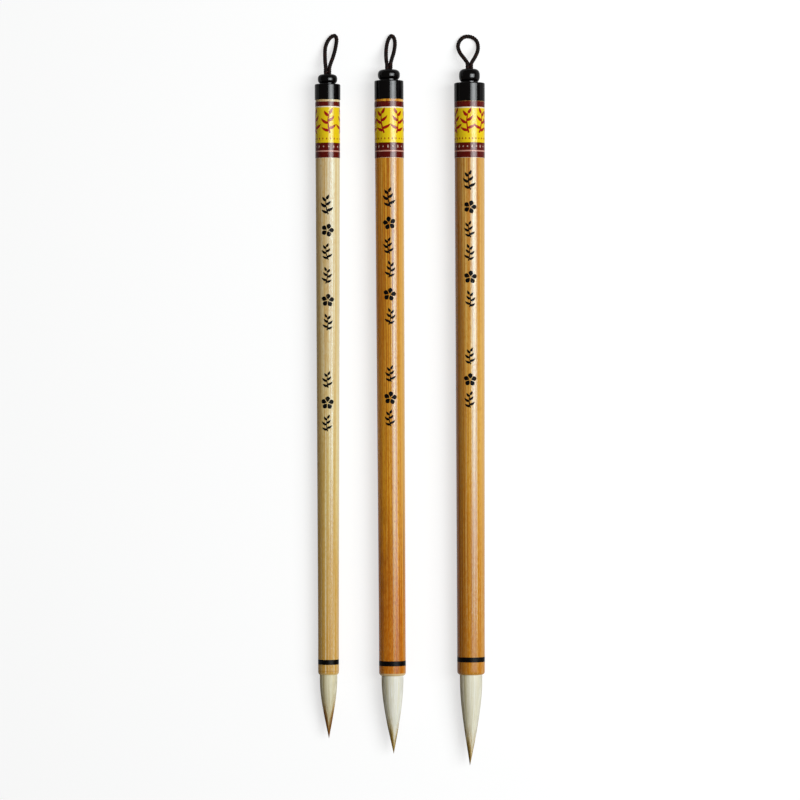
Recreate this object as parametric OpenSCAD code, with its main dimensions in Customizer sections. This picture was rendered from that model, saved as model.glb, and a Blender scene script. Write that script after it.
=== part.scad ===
// Set of three calligraphy brushes lying side by side on a table, in millimetres.
// +Z is up, +Y runs from the hair tips to the hanging loops, the table is at z = 0.
// Each brush is drawn upright round its own axis: its mouth, where the hair leaves
// the handle, is at 0, the cap is at the top and the hair points down. It is then laid flat.

/* [Small brush] */
// Place of the mouth across the set
small_x = -27.1; // [-40:0.1:-22]
// Place of the mouth along the set
small_y = -98.8; // [-110:0.1:-85]
// Angle by which the brush lies askew on the table, in degrees
small_turn = 0.09; // [-0.5:0.01:0.5]
// Length of the bamboo handle
small_handle_len = 218.4; // [180:0.1:250]
// Diameter of the handle at the label
small_top_d = 9.25; // [8.2:0.05:10]
// Diameter of the handle at the mouth
small_tip_d = 7.95; // [7.2:0.05:8.6]
// Thickness of the bamboo wall round the hair at the mouth
small_lip_wall = 0.6; // [0.4:0.05:0.8]
// Distance from the mouth to the dark ring
small_ring_gap = 3.9; // [2:0.1:8]
// Bare bamboo between the label and the cap
small_label_gap = 0.8; // [0:0.1:3]
// Diameter of the cap
small_cap_d = 9.8; // [9.4:0.05:11]
// Length of the cap's wide part
small_cap_len = 6; // [5:0.1:9]
// Diameter of the knob on the cap
small_knob_d = 7.45; // [6.6:0.05:8.6]
// Height of the knob and its neck together
small_knob_len = 3.8; // [3:0.1:5.5]
// Length of the hair outside the mouth
small_hair_len = 24.4; // [18:0.1:32]
// Share of the hair's length that the white cover hair reaches
small_cover_share = 0.72; // [0.6:0.01:0.9]

/* [Medium brush] */
// Place of the mouth across the set
medium_x = -2.75; // [-8:0.05:4]
// Place of the mouth along the set
medium_y = -99.1; // [-110:0.1:-85]
// Angle by which the brush lies askew on the table, in degrees
medium_turn = 0.35; // [-0.5:0.01:0.5]
// Length of the bamboo handle
medium_handle_len = 218.8; // [180:0.1:250]
// Diameter of the handle at the label
medium_top_d = 10.95; // [10.2:0.05:11]
// Diameter of the handle at the mouth
medium_tip_d = 10.2; // [9.4:0.05:10.6]
// Thickness of the bamboo wall round the hair at the mouth
medium_lip_wall = 0.9; // [0.5:0.05:1.2]
// Distance from the mouth to the dark ring
medium_ring_gap = 3.8; // [2:0.1:8]
// Bare bamboo between the label and the cap
medium_label_gap = 0.9; // [0:0.1:3]
// Diameter of the cap
medium_cap_d = 11.1; // [11:0.05:12.5]
// Length of the cap's wide part
medium_cap_len = 7.2; // [5:0.1:9]
// Diameter of the knob on the cap
medium_knob_d = 8.45; // [7:0.05:9.5]
// Height of the knob and its neck together
medium_knob_len = 4.3; // [3:0.1:5.5]
// Length of the hair outside the mouth
medium_hair_len = 29.8; // [22:0.1:38]
// Share of the hair's length that the white cover hair reaches
medium_cover_share = 0.87; // [0.6:0.01:0.9]

/* [Large brush] */
// Place of the mouth across the set
large_x = 27.1; // [20:0.1:40]
// Place of the mouth along the set
large_y = -98.7; // [-110:0.1:-85]
// Angle by which the brush lies askew on the table, in degrees
large_turn = 0.16; // [-0.5:0.01:0.5]
// Length of the bamboo handle
large_handle_len = 217.6; // [180:0.1:250]
// Diameter of the handle at the label
large_top_d = 11.4; // [10.8:0.05:11.4]
// Diameter of the handle at the mouth
large_tip_d = 10.55; // [9.6:0.05:11]
// Thickness of the bamboo wall round the hair at the mouth
large_lip_wall = 0.95; // [0.5:0.05:1.2]
// Distance from the mouth to the dark ring
large_ring_gap = 4.9; // [2:0.1:8]
// Bare bamboo between the label and the cap
large_label_gap = 0.1; // [0:0.1:3]
// Diameter of the cap
large_cap_d = 11.7; // [11.5:0.05:13]
// Length of the cap's wide part
large_cap_len = 7.1; // [5:0.1:9]
// Diameter of the knob on the cap
large_knob_d = 7.95; // [7:0.05:9.5]
// Height of the knob and its neck together
large_knob_len = 5.4; // [3.5:0.1:6.5]
// Length of the hair outside the mouth
large_hair_len = 34.7; // [26:0.1:42]
// Share of the hair's length that the white cover hair reaches
large_cover_share = 0.88; // [0.6:0.01:0.9]

/* [Handle] */
// Diameter of the natural hole along the bamboo
bore_d = 2.8; // [1.5:0.1:3.5]
// Length of the straight stretch at the mouth, before the handle starts to widen
tip_straight = 18; // [14:0.5:30]
// Length of the straight stretch at the cap, under the label
top_straight = 26; // [22:0.5:40]
// Length of the rounded edge of the mouth
lip_len = 1.2; // [0.6:0.1:1.8]
// Length of the printed paper label
label_len = 21.4; // [12:0.1:21.5]
// Thickness of the label's paper
paper_t = 0.1; // [0.08:0.01:0.14]
// Width of the dark ring
ring_w = 1.9; // [1:0.1:3]
// Depth to which the dark ring is let into the bamboo
ring_t = 0.2; // [0.1:0.05:0.3]

/* [Cap and cord] */
// Length of the cap's plug inside the handle
plug_len = 8; // [5:0.5:14]
// Thickness of the bamboo round the cap's plug
plug_wall = 1.3; // [1:0.05:1.5]
// Thickness of the cap's plug round the hollow for the knot
plug_t = 1; // [0.6:0.05:1.1]
// Thickness of the cap over the hollow for the knot
cap_roof = 2; // [1:0.1:3]
// Step from the knob in to its neck
neck_step = 0.7; // [0.2:0.05:0.9]
// Height of the neck under the knob
neck_len = 0.1; // [0.1:0.1:1]
// Radius of the cap's rounded upper edge
cap_round = 0.4; // [0.2:0.05:0.8]
// Thickness of the hanging cord
cord_d = 1.35; // [1:0.05:1.5]
// Gap between the two strands of the cord where they leave the knob
strand_gap = 0.05; // [0.05:0.05:0.2]
// Length of the cord's knot inside the cap
knot_len = 3.2; // [2:0.1:4]
// Radius of the knot's rounded edges
knot_round = 0.8; // [0.4:0.1:1]
// Distance from the knob to the point where the cord bends
bend_out = 1; // [0.9:0.1:2]

/* [Hair] */
// Depth of the hair's root inside the handle
root_len = 10; // [6:0.5:14]
// Thickness of the rosin that seals the root's end
rosin_len = 1.6; // [0.8:0.1:3]
// Width of the thread tied round the root
thread_w = 2.4; // [1:0.1:4]
// Thickness of the thread tied round the root
thread_t = 0.5; // [0.2:0.05:0.8]
// Distance from the root's end to the thread
thread_gap = 1; // [0.5:0.1:2]
// Largest angle by which the hair bends to either side, in degrees
flex_angle = 30; // [10:1:32]
// Share of the hair's thickness that the brown core takes
core_share = 0.5; // [0.35:0.01:0.6]

/* [Fits] */
// Gap round a piece that is glued in its seat
seat_gap = 0.03; // [0.01:0.01:0.05]
// Gap round the rounded root on which the hair bends
flex_gap = 0.12; // [0.08:0.01:0.2]
// Gap between the bending cord and its fixed end
cord_gap = 0.15; // [0.1:0.01:0.3]
// Gap between the brown core and the white strands round it
core_gap = 0.1; // [0.07:0.01:0.15]
// Gap round the cord in the knob's hole
hole_gap = 0.05; // [0.02:0.01:0.1]

/* [Hidden] */
$fn = 96;

// Colours of the drawing
pale_bamboo = [0.86, 0.74, 0.5];
amber_bamboo = [0.76, 0.48, 0.2];
honey_bamboo = [0.82, 0.56, 0.27];
black = [0.05, 0.05, 0.06];
paper_yellow = [0.9, 0.75, 0.12];
white_hair = [0.9, 0.88, 0.8];
brown_hair = [0.5, 0.33, 0.17];
rosin = [0.55, 0.3, 0.1];
thread = [0.75, 0.7, 0.6];

// One list of sizes for each brush, read only through the functions below it
small = [
    small_x, small_y, small_turn, small_handle_len, small_top_d, small_tip_d, small_lip_wall,
    small_ring_gap, small_label_gap, small_cap_d, small_cap_len, small_knob_d, small_knob_len,
    small_hair_len, small_cover_share
];
medium = [
    medium_x, medium_y, medium_turn, medium_handle_len, medium_top_d, medium_tip_d, medium_lip_wall,
    medium_ring_gap, medium_label_gap, medium_cap_d, medium_cap_len, medium_knob_d, medium_knob_len,
    medium_hair_len, medium_cover_share
];
large = [
    large_x, large_y, large_turn, large_handle_len, large_top_d, large_tip_d, large_lip_wall,
    large_ring_gap, large_label_gap, large_cap_d, large_cap_len, large_knob_d, large_knob_len,
    large_hair_len, large_cover_share
];
function mouth_x(b) = b[0];
function mouth_y(b) = b[1];
function turn(b) = b[2];
function handle_len(b) = b[3];
function top_r(b) = b[4] / 2;
function tip_r(b) = b[5] / 2;
function lip_wall(b) = b[6];
function ring_at(b) = b[7];
function label_top(b) = handle_len(b) - b[8];
function cap_r(b) = b[9] / 2;
function cap_len(b) = b[10];
function knob_r(b) = b[11] / 2;
function knob_top(b) = cap_len(b) + b[12];
function hair_len(b) = b[13];
function cover_share(b) = b[14];

// Sizes that follow from those above
function socket_r(b) = tip_r(b) - lip_wall(b);
function hair_r(b) = socket_r(b) - seat_gap;
function plug_hole_r(b) = top_r(b) - plug_wall;
function plug_r(b) = plug_hole_r(b) - seat_gap;
function knot_hole_r(b) = plug_r(b) - plug_t;
function knot_r(b) = knot_hole_r(b) - seat_gap;
socket_len = root_len + rosin_len;
cord_r = cord_d / 2;
strand_x = cord_r + strand_gap / 2;
cord_hole_r = strand_x + cord_r + hole_gap;

// Slope of a brush that rests on its cap, or on its label where that is wider, and on the
// end of its handle, and the height of its mouth
function rest_r(b) = max(cap_r(b), top_r(b) + paper_t);
function slope(b) = atan((rest_r(b) - tip_r(b)) / (handle_len(b) - lip_len));
function mouth_z(b) = tip_r(b) * cos(slope(b)) - lip_len * sin(slope(b));

// A point of an upright brush's axis, at a height above its mouth, on the brush as it lies
function on_axis(b, up) = [
    mouth_x(b) - sin(turn(b)) * cos(slope(b)) * up,
    mouth_y(b) + cos(turn(b)) * cos(slope(b)) * up,
    mouth_z(b) + sin(slope(b)) * up
];

// Where the hair bends, below the mouth, and where the cord bends, above it
function flex_out(b) = hair_r(b) * sin(flex_angle) + flex_gap;
function cord_bend(b) = handle_len(b) + knob_top(b) + bend_out;

// Points of an ellipse round a centre, from the angle a0 to a1
corner_steps = 6;
knob_steps = 18;
knob_power = 0.75;
dish_steps = 12;
function arc(centre, rx, ry, a0, a1) = [
    for (i = [0:corner_steps])
        let (a = a0 + (a1 - a0) * i / corner_steps)
            centre + [rx * cos(a), ry * sin(a)]
];

// Points of the knob's side, an ellipse with its shoulders pushed out where knob_power is under 1
function swollen_arc(centre, rx, ry, a0) = [
    for (i = [0:knob_steps])
        let (a = a0 + (90 - a0) * i / knob_steps)
            centre + [rx * pow(cos(a), knob_power), ry * sign(a) * pow(abs(sin(a)), knob_power)]
];

// Lays an upright brush down on the table
module laid(b) {
    translate([mouth_x(b), mouth_y(b), mouth_z(b)])
        rotate([0, 0, turn(b)])
            rotate([slope(b) - 90, 0, 0])
                children();
}

// Bamboo handle: a tube that widens from the mouth to the cap
module handle(b, shade) {
    mouth_edge = arc([socket_r(b), lip_len], lip_wall(b), lip_len, -90, 0);
    outside = [
        [tip_r(b), ring_at(b)],
        [tip_r(b) - ring_t, ring_at(b)],
        [tip_r(b) - ring_t, ring_at(b) + ring_w],
        [tip_r(b), ring_at(b) + ring_w],
        [tip_r(b), tip_straight],
        [top_r(b), handle_len(b) - top_straight],
        [top_r(b), handle_len(b)]
    ];
    inside = [
        [plug_hole_r(b), handle_len(b)],
        [plug_hole_r(b), handle_len(b) - plug_len],
        [bore_d / 2, handle_len(b) - plug_len],
        [bore_d / 2, socket_len],
        [socket_r(b), socket_len]
    ];
    color(shade)
        laid(b)
            rotate_extrude()
                polygon(concat(mouth_edge, outside, inside));
}

// Dark ring let into the handle, flush with it
module tip_ring(b) {
    color(black)
        laid(b)
            translate([0, 0, ring_at(b)])
                rotate_extrude()
                    translate([tip_r(b) - ring_t, 0])
                        square([ring_t, ring_w]);
}

// Printed paper label wound once round the handle
module label_band(b) {
    color(paper_yellow)
        laid(b)
            translate([0, 0, label_top(b) - label_len])
                rotate_extrude()
                    translate([top_r(b), 0])
                        square([paper_t, label_len]);
}

// Turned cap with a knob: a plug in the handle, a hollow for the knot and a hole for the cord
module end_cap(b) {
    neck_r = knob_r(b) - neck_step;
    knob_wide = knob_r(b) - cord_hole_r;
    knob_half = (knob_top(b) - cap_len(b) - neck_len) / 2;
    knob_mid = knob_top(b) - knob_half;
    neck_angle = -acos(pow((neck_r - cord_hole_r) / knob_wide, 1 / knob_power));
    plug = [
        [knot_hole_r(b), -plug_len],
        [plug_r(b), -plug_len],
        [plug_r(b), 0],
        [cap_r(b), 0]
    ];
    shoulder = arc([cap_r(b) - cap_round, cap_len(b) - cap_round], cap_round, cap_round, 0, 90);
    neck = [[neck_r, cap_len(b)]];
    knob = swollen_arc([cord_hole_r, knob_mid], knob_wide, knob_half, neck_angle);
    hollow = [
        [cord_hole_r, cap_len(b) - cap_roof],
        [knot_hole_r(b), cap_len(b) - cap_roof]
    ];
    color(black)
        laid(b)
            translate([0, 0, handle_len(b)])
                rotate_extrude()
                    polygon(concat(plug, shoulder, neck, knob, hollow));
}

// Knot inside the cap, with the two strands that pass through the knob
module cord_tail(b) {
    knot_top = cap_len(b) - cap_roof;
    strand_end = knob_top(b) + bend_out;
    strand = concat(
        [[0, knot_top - knot_round], [cord_r, knot_top - knot_round]],
        arc([0, strand_end], cord_r, cord_r, 0, 90)
    );
    knot = concat(
        [[0, knot_top - knot_len]],
        arc([knot_r(b) - knot_round, knot_top - knot_len + knot_round], knot_round, knot_round, -90, 0),
        arc([knot_r(b) - knot_round, knot_top - knot_round], knot_round, knot_round, 0, 90),
        [[0, knot_top]]
    );
    color(black)
        laid(b)
            translate([0, 0, handle_len(b)])
                union() {
                    rotate_extrude()
                        polygon(knot);
                    for (side = [-1, 1])
                        translate([side * strand_x, 0, 0])
                            rotate_extrude()
                                polygon(strand);
                }
}

// Root of the hair, glued in the handle, with a dish for the rounded base of the free hair
module hair_root(b) {
    dish_r = hair_r(b) + flex_gap;
    dish_edge = acos(flex_out(b) / dish_r);
    thread_at = root_len - thread_gap - thread_w;
    dish = [
        for (i = [dish_steps:-1:0])
            let (a = dish_edge * i / dish_steps)
                [dish_r * sin(a), dish_r * cos(a) - flex_out(b)]
    ];
    body = [
        [0, root_len],
        [hair_r(b), root_len],
        [hair_r(b), thread_at + thread_w],
        [hair_r(b) - thread_t, thread_at + thread_w],
        [hair_r(b) - thread_t, thread_at],
        [hair_r(b), thread_at],
        [hair_r(b), 0]
    ];
    color(white_hair)
        laid(b)
            rotate_extrude()
                polygon(concat(body, dish));
}

// Thread tied round the root
module root_thread(b) {
    color(thread)
        laid(b)
            translate([0, 0, root_len - thread_gap - thread_w])
                rotate_extrude()
                    translate([hair_r(b) - thread_t, 0])
                        square([thread_t, thread_w]);
}

// Rosin that seals the root's end
module root_rosin(b) {
    color(rosin)
        laid(b)
            translate([0, 0, root_len])
                cylinder(r = hair_r(b), h = rosin_len);
}

// The free hair: every strand keeps its own cell of the round base, and all cells
// narrow together towards the tip, so that no strand crosses another
sectors = 30;
rings = 4;
levels = [0.35, 0.65, 0.88];
slimming = [0.94, 0.9, 0.86];
ragged = 0.05;
ring_step = 0.04;
ball_bands = 3;
strand_count = rings * sectors;
strand_size = 3 * len(levels) + 1;
seed = 7;
wisps = rands(0, 1, strand_count, seed);

// Thickness of the hair at a share of its free length, as a share of that at the base
function hair_width(t) = cos(90 * t);
function free_len(b) = hair_len(b) - flex_out(b);
function ring_r(b, k) = hair_r(b) * (core_share + (1 - core_share) * k / rings);
function cell_point(b, k, i) = ring_r(b, k) * [cos(360 * i / sectors), sin(360 * i / sectors)];
function at_share(b, p, t) = [p[0], p[1], -flex_out(b) - t * free_len(b)];

// Strands of the inner rings end a little sooner, and each ends at its own length
function strand_end(b, k, i) =
    cover_share(b) - ring_step * (rings - 1 - k) - ragged * wisps[k * sectors + i];
function level_share(b, l) = levels[l] * (cover_share(b) - ring_step * (rings - 1) - ragged);

function strand_points(b, k, i) =
    let (
        corners = [cell_point(b, k + 1, i), cell_point(b, k + 1, i + 1), cell_point(b, k, i)],
        middle = (corners[0] + corners[1] + corners[2]) / 3,
        tip = strand_end(b, k, i)
    ) concat(
        [
            for (l = [0:len(levels) - 1])
                let (t = level_share(b, l))
                    for (c = corners)
                        at_share(b, hair_width(t) * (middle + slimming[l] * (c - middle)), t)
        ],
        [at_share(b, hair_width(tip) * middle, tip)]
    );

// Numbers of the points: the base's rings, then the bands of the ball behind it, the ball's
// pole, the middle of the base, and then the strands one after another
function base_id(k, i) = k * sectors + i % sectors;
function ball_id(j, i) = j == 0 ? base_id(rings, i) : (rings + j) * sectors + i % sectors;
pole_id = (rings + ball_bands) * sectors;
hub_id = pole_id + 1;
function strand_id(k, i, l, c) = hub_id + 1 + (k * sectors + i) * strand_size + 3 * l + c;
function corner_id(k, i, l, c) = l > 0 ? strand_id(k, i, l - 1, c)
    : c == 0 ? base_id(k + 1, i)
    : c == 1 ? base_id(k + 1, i + 1)
    : base_id(k, i);

function hair_points(b) = concat(
    [for (k = [0:rings], i = [0:sectors - 1]) at_share(b, cell_point(b, k, i), 0)],
    [
        for (j = [1:ball_bands - 1], i = [0:sectors - 1])
            let (
                a = 90 * j / ball_bands,
                p = hair_r(b) * cos(a) * [cos(360 * i / sectors), sin(360 * i / sectors)]
            ) [p[0], p[1], hair_r(b) * sin(a) - flex_out(b)]
    ],
    [[0, 0, hair_r(b) - flex_out(b)], [0, 0, -flex_out(b)]],
    [for (k = [0:rings - 1], i = [0:sectors - 1]) each strand_points(b, k, i)]
);

ball_faces = [
    for (i = [0:sectors - 1]) each concat(
        [
            for (j = [0:ball_bands - 2]) each [
                [ball_id(j, i), ball_id(j + 1, i), ball_id(j + 1, i + 1)],
                [ball_id(j, i), ball_id(j + 1, i + 1), ball_id(j, i + 1)]
            ]
        ],
        [[ball_id(ball_bands - 1, i), pole_id, ball_id(ball_bands - 1, i + 1)]]
    )
];
base_faces = [
    for (i = [0:sectors - 1]) each concat(
        [[hub_id, base_id(0, i), base_id(0, i + 1)]],
        [for (k = [0:rings - 1]) [base_id(k, i), base_id(k + 1, i + 1), base_id(k, i + 1)]]
    )
];
strand_faces = [
    for (k = [0:rings - 1], i = [0:sectors - 1], c = [0:2])
        let (d = (c + 1) % 3) each concat(
            [
                for (l = [0:len(levels) - 1]) each [
                    [corner_id(k, i, l, c), corner_id(k, i, l, d), corner_id(k, i, l + 1, d)],
                    [corner_id(k, i, l, c), corner_id(k, i, l + 1, d), corner_id(k, i, l + 1, c)]
                ]
            ],
            [[
                corner_id(k, i, len(levels), c),
                corner_id(k, i, len(levels), d),
                strand_id(k, i, len(levels), 0)
            ]]
        )
];

// White cover hair: strands grown out of the rounded base on which the hair bends
module cover_hair(b) {
    color(white_hair)
        laid(b)
            polyhedron(hair_points(b), concat(ball_faces, base_faces, strand_faces));
}

// Brown core hair: slim inside the cover, and as wide as the whole hair past its end
full_after = 0.04;
core_steps = 25;
function core_width(b, t) =
    let (
        inner_end = cover_share(b) - ring_step * (rings - 1),
        slim = core_share - core_gap / hair_r(b),
        nearly_full = 1 - (1 - core_share) / rings - core_gap / hair_r(b)
    ) lookup(t, [
        [0, slim],
        [inner_end, slim],
        [cover_share(b), nearly_full],
        [cover_share(b) + full_after, 1]
    ]);

module core_hair(b) {
    side = [
        for (i = [0:core_steps])
            let (t = i / core_steps)
                [hair_r(b) * hair_width(t) * core_width(b, t), -flex_out(b) - t * free_len(b)]
    ];
    color(brown_hair)
        laid(b)
            rotate_extrude()
                polygon(concat([[0, -flex_out(b)]], side));
}

// Routes of the three cords, from one strand at the knob round to the other, as steps from
// the point where the cord bends: across, out along the brush, and down to the table
small_route = [
    [-0.7, 1.9, 0], [-0.9, 4, -0.9], [-1, 7, -2.5], [-0.8, 9.8, -3.7], [0.1, 12.1, -4.1],
    [1.5, 13.7, -4.2], [2.8, 14, -4.2], [3.4, 12.6, -4.2], [3.1, 10, -3.7], [2.6, 7.6, -2.8],
    [1.9, 5.2, -1.6], [1.2, 3.2, -0.5], [0.8, 1.8, 0]
];
medium_route = [
    [-0.8, 1.7, 0], [-1, 3.5, -1], [-1, 6, -2.7], [-0.7, 8.7, -4.2], [0, 11, -4.7],
    [1.1, 12.2, -4.8], [2.1, 11.2, -4.7], [2.4, 8.9, -4.2], [2, 6, -2.7], [1.3, 3.5, -1],
    [0.8, 1.7, 0]
];
large_route = [
    [-0.9, 1.5, 0], [-1.9, 3, -0.8], [-3.4, 5.2, -2.7], [-4.2, 7.6, -4.4], [-3.8, 9.7, -5],
    [-2.5, 11.2, -5.1], [-0.8, 11.8, -5.1], [1.2, 11.4, -5.1], [2.8, 10.1, -5], [3.4, 8.1, -4.5],
    [3.2, 6, -3.2], [2.3, 3.8, -1.6], [1.2, 1.9, -0.3]
];

// The whole route of a loop, which starts and ends past the rounded ends of the fixed strands
function loop_route(points) =
    let (start_out = cord_r + cord_gap)
        concat([[-strand_x, start_out, 0]], points, [[strand_x, start_out, 0]]);

// A smooth curve through the points of a route, with one more point between each two
route_step = 0.5;
cord_sides = 8;
function curve_point(p, i, t) =
    let (
        last = len(p) - 1,
        p0 = p[max(i - 1, 0)],
        p1 = p[i],
        p2 = p[i + 1],
        p3 = p[min(i + 2, last)]
    ) p1 + t * ((p2 - p0) / 2
        + t * ((p0 - 2.5 * p1 + 2 * p2 - p3 / 2)
            + t * (3 * (p1 - p2) + p3 - p0) / 2));
function curve(p) = concat(
    [for (i = [0:len(p) - 2], t = [0:route_step:1 - route_step]) curve_point(p, i, t)],
    [p[len(p) - 1]]
);

function unit(v) = v / norm(v);
function direction(path, i) = i == 0 ? [0, 1, 0]
    : i == len(path) - 1 ? [0, -1, 0]
    : unit(path[i + 1] - path[i - 1]);

// A tube of cord_sides sides round a path
module cord_tube(path) {
    n = len(path);
    points = [
        for (i = [0:n - 1])
            let (
                ahead = direction(path, i),
                side = unit(cross(ahead, [0, 0, 1])),
                over = cross(side, ahead)
            )
            for (s = [0:cord_sides - 1])
                let (a = 360 * (s + 0.5) / cord_sides)
                    path[i] + cord_r * (cos(a) * side + sin(a) * over)
    ];
    walls = [
        for (i = [0:n - 2], s = [0:cord_sides - 1])
            let (
                r = (s + 1) % cord_sides,
                a = i * cord_sides,
                c = a + cord_sides
            ) each [[a + s, a + r, c + r], [a + s, c + r, c + s]]
    ];
    ends = [
        for (s = [1:cord_sides - 2]) each [
            [0, s + 1, s],
            [(n - 1) * cord_sides, (n - 1) * cord_sides + s, (n - 1) * cord_sides + s + 1]
        ]
    ];
    polyhedron(points, concat(walls, ends));
}

// Hanging loop of cord, which swings up from the table
module cord_loop(b, route) {
    color(black)
        translate(on_axis(b, cord_bend(b)))
            rotate([0, 0, turn(b)])
                cord_tube(curve(loop_route(route)));
}

handle(small, pale_bamboo);  // small_handle
end_cap(small);  // small_end_cap
cord_tail(small);  // small_cord_tail
cord_loop(small, small_route);  // small_cord_loop
label_band(small);  // small_label_band
tip_ring(small);  // small_tip_ring
hair_root(small);  // small_hair_root
root_thread(small);  // small_root_thread
root_rosin(small);  // small_root_rosin
cover_hair(small);  // small_cover_hair
core_hair(small);  // small_core_hair

handle(medium, amber_bamboo);  // medium_handle
end_cap(medium);  // medium_end_cap
cord_tail(medium);  // medium_cord_tail
cord_loop(medium, medium_route);  // medium_cord_loop
label_band(medium);  // medium_label_band
tip_ring(medium);  // medium_tip_ring
hair_root(medium);  // medium_hair_root
root_thread(medium);  // medium_root_thread
root_rosin(medium);  // medium_root_rosin
cover_hair(medium);  // medium_cover_hair
core_hair(medium);  // medium_core_hair

handle(large, honey_bamboo);  // large_handle
end_cap(large);  // large_end_cap
cord_tail(large);  // large_cord_tail
cord_loop(large, large_route);  // large_cord_loop
label_band(large);  // large_label_band
tip_ring(large);  // large_tip_ring
hair_root(large);  // large_hair_root
root_thread(large);  // large_root_thread
root_rosin(large);  // large_root_rosin
cover_hair(large);  // large_cover_hair
core_hair(large);  // large_core_hair
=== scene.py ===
"""Looks of a set of three calligraphy brushes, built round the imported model.

Sizes are in millimetres, as in the part's source, and lengths of the scene itself in metres.
A brush's own frame starts at its mouth, where the hair leaves the handle: x runs across the
brush, y along it towards the cap, and z up. Its inside is at negative z as well.
"""
import math
import random
from collections import namedtuple

import bpy
from mathutils import Matrix, Vector


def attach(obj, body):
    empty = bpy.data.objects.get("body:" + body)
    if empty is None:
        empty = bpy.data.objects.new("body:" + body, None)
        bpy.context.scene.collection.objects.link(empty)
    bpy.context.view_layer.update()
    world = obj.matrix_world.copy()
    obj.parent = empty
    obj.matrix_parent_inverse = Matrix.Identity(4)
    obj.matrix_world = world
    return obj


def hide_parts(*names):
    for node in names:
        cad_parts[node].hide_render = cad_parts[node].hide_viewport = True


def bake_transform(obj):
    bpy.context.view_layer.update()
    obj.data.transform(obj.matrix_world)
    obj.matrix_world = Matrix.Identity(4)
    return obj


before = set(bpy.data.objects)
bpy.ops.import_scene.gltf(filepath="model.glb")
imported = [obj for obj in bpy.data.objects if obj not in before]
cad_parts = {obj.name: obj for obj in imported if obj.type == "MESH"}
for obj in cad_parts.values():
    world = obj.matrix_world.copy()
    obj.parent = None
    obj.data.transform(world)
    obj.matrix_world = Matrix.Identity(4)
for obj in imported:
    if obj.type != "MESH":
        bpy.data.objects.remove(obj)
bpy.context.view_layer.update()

MM = 0.001
scene = bpy.context.scene

# Sizes of the three brushes
Brush = namedtuple(
    "Brush",
    "name mouth turn slope handle_len top_r tip_r lip_wall label_gap cap_len knob_len hair_len "
    "cord_len cord_route",
)
small = Brush(
    name="small",
    mouth=(-27.1, -98.8, 3.9699),
    turn=0.09,
    slope=0.244,
    handle_len=218.4,
    top_r=4.625,
    tip_r=3.975,
    lip_wall=0.6,
    label_gap=0.8,
    cap_len=6,
    knob_len=3.8,
    hair_len=24.4,
    cord_len=40,
    cord_route=[
        (-0.7, 0.8, 0), (-0.7, 1.9, 0), (-0.9, 4, -0.9), (-1, 7, -2.5), (-0.8, 9.8, -3.7),
        (0.1, 12.1, -4.1), (1.5, 13.7, -4.2), (2.8, 14, -4.2), (3.4, 12.6, -4.2), (3.1, 10, -3.7),
        (2.6, 7.6, -2.8), (1.9, 5.2, -1.6), (1.2, 3.2, -0.5), (0.8, 1.8, 0), (0.7, 0.8, 0),
    ],
)
medium = Brush(
    name="medium",
    mouth=(-2.75, -99.1, 5.0974),
    turn=0.35,
    slope=0.1251,
    handle_len=218.8,
    top_r=5.475,
    tip_r=5.1,
    lip_wall=0.9,
    label_gap=0.9,
    cap_len=7.2,
    knob_len=4.3,
    hair_len=29.8,
    cord_len=36.5,
    cord_route=[
        (-0.7, 0.8, 0), (-0.8, 1.7, 0), (-1, 3.5, -1), (-1, 6, -2.7), (-0.7, 8.7, -4.2),
        (0, 11, -4.7), (1.1, 12.2, -4.8), (2.1, 11.2, -4.7), (2.4, 8.9, -4.2), (2, 6, -2.7),
        (1.3, 3.5, -1), (0.8, 1.7, 0), (0.7, 0.8, 0),
    ],
)
large = Brush(
    name="large",
    mouth=(27.1, -98.7, 5.2718),
    turn=0.16,
    slope=0.1522,
    handle_len=217.6,
    top_r=5.7,
    tip_r=5.275,
    lip_wall=0.95,
    label_gap=0.1,
    cap_len=7.1,
    knob_len=5.4,
    hair_len=34.7,
    cord_len=40,
    cord_route=[
        (-0.7, 0.8, 0), (-0.9, 1.5, 0), (-1.9, 3, -0.8), (-3.4, 5.2, -2.7), (-4.2, 7.6, -4.4),
        (-3.8, 9.7, -5), (-2.5, 11.2, -5.1), (-0.8, 11.8, -5.1), (1.2, 11.4, -5.1), (2.8, 10.1, -5),
        (3.4, 8.1, -4.5), (3.2, 6, -3.2), (2.3, 3.8, -1.6), (1.2, 1.9, -0.3), (0.7, 0.8, 0),
    ],
)
BRUSHES = [small, medium, large]

# Sizes that the three brushes share, as in the part's source
bend_out = 1
root_len = 10
thread_t = 0.5
seat_gap = 0.03
flex_gap = 0.12
flex_angle = 30
label_len = 21.4
paper_t = 0.1
tip_straight = 18
top_straight = 26


def frame_of(b):
    """The matrix from a brush's own frame, in millimetres, to the row frame, in metres."""
    turn = math.radians(b.turn)
    slope = math.radians(b.slope)
    across = Vector((math.cos(turn), math.sin(turn), 0))
    along = Vector((-math.sin(turn) * math.cos(slope), math.cos(turn) * math.cos(slope), math.sin(slope)))
    above = across.cross(along)
    axes = Matrix((across, along, above)).transposed().to_4x4()
    return Matrix.Translation(Vector(b.mouth) * MM) @ axes @ Matrix.Scale(MM, 4)


def bend_frame(b):
    """The matrix from the frame in which a cord's route is given to the row frame."""
    pivot = frame_of(b) @ Vector((0, b.handle_len + b.cap_len + b.knob_len + bend_out, 0))
    return Matrix.Translation(pivot) @ Matrix.Rotation(math.radians(b.turn), 4, "Z") @ Matrix.Scale(MM, 4)


def hair_r(b):
    return b.tip_r - b.lip_wall - seat_gap


def flex_out(b):
    return hair_r(b) * math.sin(math.radians(flex_angle)) + flex_gap


def label_top(b):
    return b.handle_len - b.label_gap


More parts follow.
